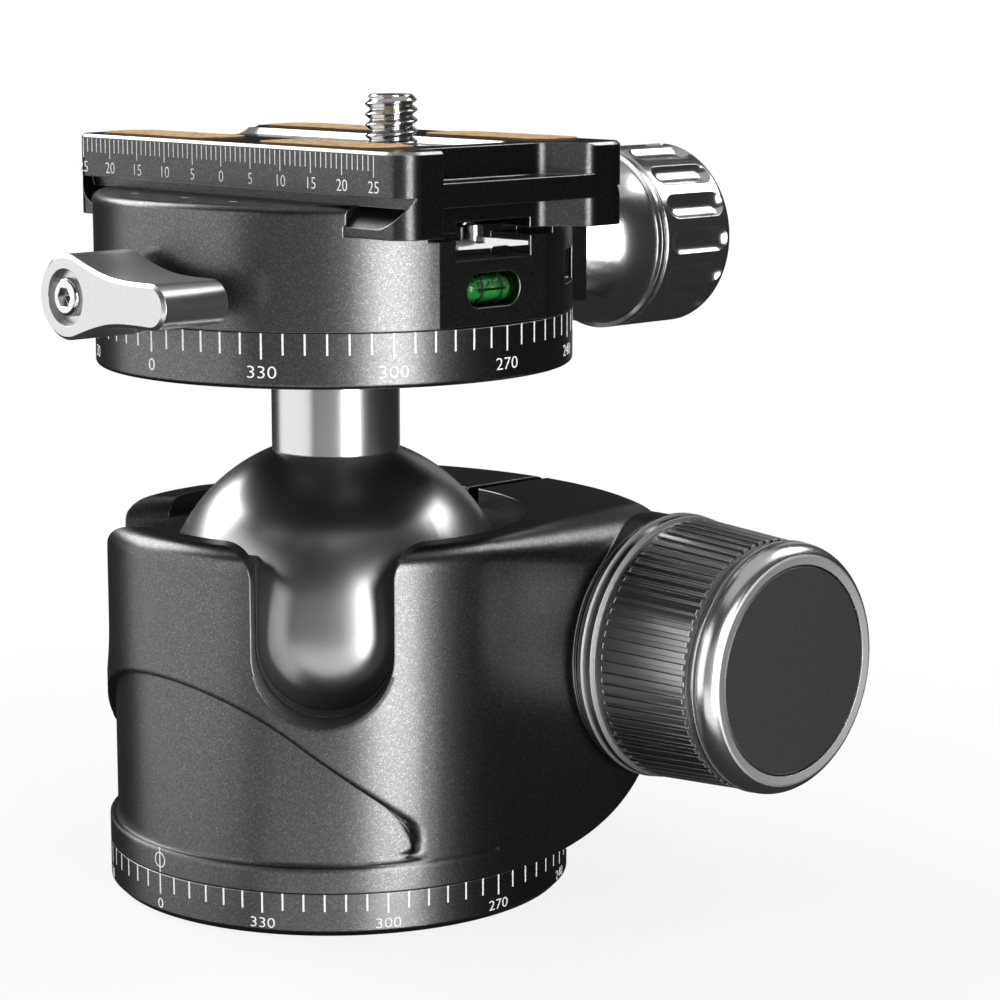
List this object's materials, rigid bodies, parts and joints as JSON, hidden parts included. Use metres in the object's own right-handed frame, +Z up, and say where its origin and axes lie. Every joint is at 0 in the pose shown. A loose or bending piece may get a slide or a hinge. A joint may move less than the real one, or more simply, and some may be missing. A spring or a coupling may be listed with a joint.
{
  "type": "tripod ball head",
  "caption": "Tripod ball head with a pinch-clamped ball, drop slots, base and top pan scales, a quick-release clamp and its plate with a camera screw.",
  "frame": {"origin": "centre of the base's underside, at the mouth of the tripod thread", "axes": "+Z up along the pan axis, -Y the front (index marks, lever, plate scale), +X along the main knob"},
  "size_m": [0.092, 0.1022, 0.0985],
  "materials": {
    "black_anodised": "bead-blasted and anodised black",
    "satin_aluminium": "fine-turned, satin",
    "gunmetal": "glossy dark chrome",
    "steel": "polished",
    "brass": "turned",
    "polymer": "smooth low-friction polymer",
    "liner": "dark, fine-grained",
    "ball_black": "smooth satin black",
    "cap_black": "matt black disc",
    "vial_glass": "clear",
    "vial_fluid": "green fluid",
    "cork": "fine cork"
  },
  "bodies": {
    "base": {"pan_base": "black_anodised", "tripod_bush": "steel", "pan_bearing": "polymer", "pan_retainer": "steel", "pan_retainer_screws": "steel"},
    "housing": {"housing": "black_anodised", "ball_liner": "liner", "clamp_nut": "steel", "pan_lock_pad": "brass"},
    "seat": {"lower_seat": "polymer"},
    "ball": {"ball": "ball_black"},
    "head": {"stem": "satin_aluminium", "upper_ring": "black_anodised", "stem_bolt": "steel", "top_bearing": "polymer", "clamp_retainer": "steel", "clamp_retainer_screws": "steel"},
    "clamp": {"clamp_body": "black_anodised", "level_vial": "vial_glass", "vial_fluid": "vial_fluid", "brake_pad": "brass"},
    "lever": {"lever": "satin_aluminium", "lever_stud": "steel", "lever_screw": "steel"},
    "jaw": {"movable_jaw": "black_anodised", "jaw_guide_pins": "steel"},
    "clamp_knob": {"clamp_knob": "satin_aluminium", "clamp_screw": "steel"},
    "catch": {"safety_pin": "steel", "catch_leaf": "steel"},
    "plate": {"quick_plate": "black_anodised", "cork_pads": "cork"},
    "screw_washer": {"screw_washer": "steel"},
    "camera_screw": {"camera_screw": "steel"},
    "thrust_washer": {"thrust_washer": "steel"},
    "main_knob": {"main_knob": "gunmetal", "main_knob_cap": "cap_black", "main_screw": "steel"},
    "pan_lock": {"pan_lock_knob": "black_anodised", "pan_lock_stud": "steel"}
  },
  "joints": [
    {"name": "base_pan", "type": "hinge", "parent": "base", "child": "housing", "pos_m": [0, 0, 0.0054], "axis": [0, 0, 1], "continuous": true},
    {"name": "ball_heading", "type": "hinge", "parent": "housing", "child": "seat", "pos_m": [0, 0, 0.0339], "axis": [0, 0, 1], "range_deg": [-90, 270]},
    {"name": "ball_tilt", "type": "hinge", "parent": "seat", "child": "ball", "pos_m": [0, 0, 0.0339], "axis": [0.7071, 0.7071, 0], "range_deg": [-28, 90]},
    {"name": "ball_spin", "type": "hinge", "parent": "ball", "child": "head", "pos_m": [0, 0, 0.0339], "axis": [0, 0, 1], "continuous": true},
    {"name": "clamp_pan", "type": "hinge", "parent": "head", "child": "clamp", "pos_m": [0, 0, 0.077], "axis": [0, 0, 1], "continuous": true},
    {"name": "lever_turn", "type": "hinge", "parent": "clamp", "child": "lever", "pos_m": [0, -0.036, 0.07625], "axis": [0, -1, 0], "range_deg": [0, 90]},
    {"name": "jaw_slide", "type": "slide", "parent": "clamp", "child": "jaw", "axis": [0, 1, 0], "range_m": [0, 0.004]},
    {"name": "clamp_knob_turn", "type": "hinge", "parent": "jaw", "child": "clamp_knob", "pos_m": [0, 0.05, 0.0778], "axis": [0, 1, 0], "range_deg": [0, 1445]},
    {"name": "safety_pin_press", "type": "slide", "parent": "clamp", "child": "catch", "axis": [0, 0, -1], "range_m": [0, 0.0012], "stiffness_N_per_m": 200, "springref_m": -0.0005},
    {"name": "plate_slide", "type": "slide", "parent": "clamp", "child": "plate", "axis": [1, 0, 0], "range_m": [-0.0036, 0.0003]},
    {"name": "screw_slide", "type": "slide", "parent": "plate", "child": "screw_washer", "axis": [1, 0, 0], "range_m": [-0.0089, 0.0087]},
    {"name": "camera_screw_turn", "type": "hinge", "parent": "screw_washer", "child": "camera_screw", "pos_m": [0.0106, 0, 0.088], "axis": [0, 0, 1], "continuous": true},
    {"name": "thrust_slide", "type": "slide", "parent": "housing", "child": "thrust_washer", "axis": [1, 0, 0], "range_m": [0, 0.00125]},
    {"name": "main_knob_turn", "type": "hinge", "parent": "thrust_washer", "child": "main_knob", "pos_m": [0.04, 0.029, 0.02945], "axis": [1, 0, 0], "range_deg": [0, 365]},
    {"name": "pan_lock_turn", "type": "hinge", "parent": "housing", "child": "pan_lock", "pos_m": [-0.03118, 0.018, 0.0084], "axis": [-0.866, 0.5, 0], "range_deg": [0, 270]}
  ],
  "couplings": [
    {"joint": "clamp_knob_turn", "follows": "jaw_slide", "rad_per_m": 6283.2},
    {"joint": "main_knob_turn", "follows": "thrust_slide", "rad_per_m": 5026.5}
  ]
}
